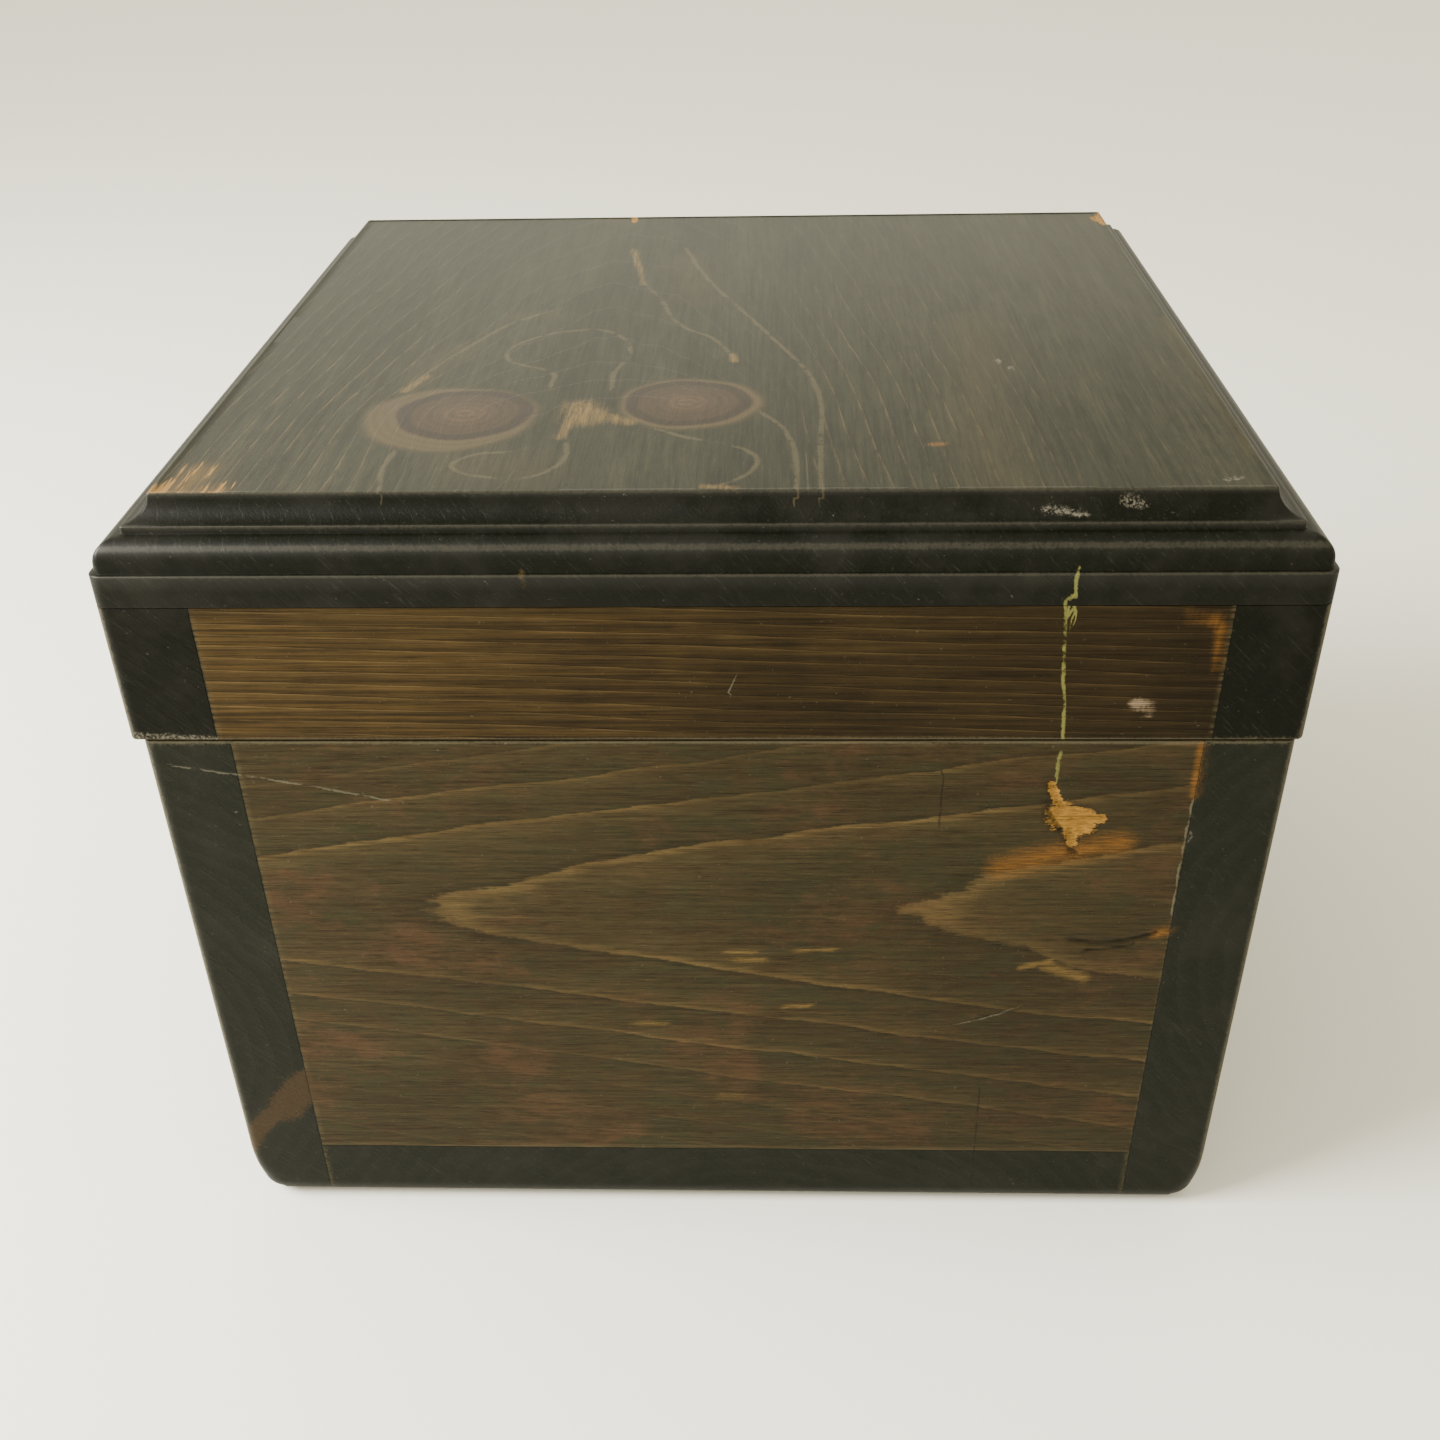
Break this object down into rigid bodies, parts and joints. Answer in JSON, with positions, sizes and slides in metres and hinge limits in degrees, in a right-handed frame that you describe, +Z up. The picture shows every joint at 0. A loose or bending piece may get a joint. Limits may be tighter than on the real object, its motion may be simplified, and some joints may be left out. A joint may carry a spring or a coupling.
{
  "type": "hinged wooden box",
  "caption": "Stained pine box with a hinged lid, a moulded top edge and brass butt hinges on the back.",
  "frame": {"origin": "centre of the whole object's box, at its underside", "axes": "+X to the right seen from the front, +Y to the back where the hinges are, +Z up"},
  "size_m": [0.25, 0.2434, 0.1935],
  "materials": {
    "dark_stain": "satin green-black stain on pine",
    "brown_stain": "satin olive-brown stain on pine",
    "top_stain": "satin grey-olive stain on knotty pine",
    "brass": "dull, lightly tarnished"
  },
  "bodies": {
    "base": {"base_left_side": "dark_stain", "base_right_side": "dark_stain", "base_bottom": "dark_stain", "base_front": "brown_stain", "base_back": "brown_stain", "hinge_left_lower_leaf": "brass", "hinge_left_pin": "brass", "screw_left_lower_1": "brass", "screw_left_lower_2": "brass", "screw_left_lower_3": "brass", "hinge_right_lower_leaf": "brass", "hinge_right_pin": "brass", "screw_right_lower_1": "brass", "screw_right_lower_2": "brass", "screw_right_lower_3": "brass"},
    "lid": {"lid_top": "top_stain", "lid_left_side": "dark_stain", "lid_right_side": "dark_stain", "lid_front": "brown_stain", "lid_back": "brown_stain", "hinge_left_upper_leaf": "brass", "screw_left_upper_1": "brass", "screw_left_upper_2": "brass", "screw_left_upper_3": "brass", "hinge_right_upper_leaf": "brass", "screw_right_upper_1": "brass", "screw_right_upper_2": "brass", "screw_right_upper_3": "brass"}
  },
  "joints": [
    {"name": "lid_hinge", "type": "hinge", "parent": "base", "child": "lid", "pos_m": [0, 0.11915, 0.142], "axis": [-1, 0, 0], "range_deg": [0, 180]}
  ]
}
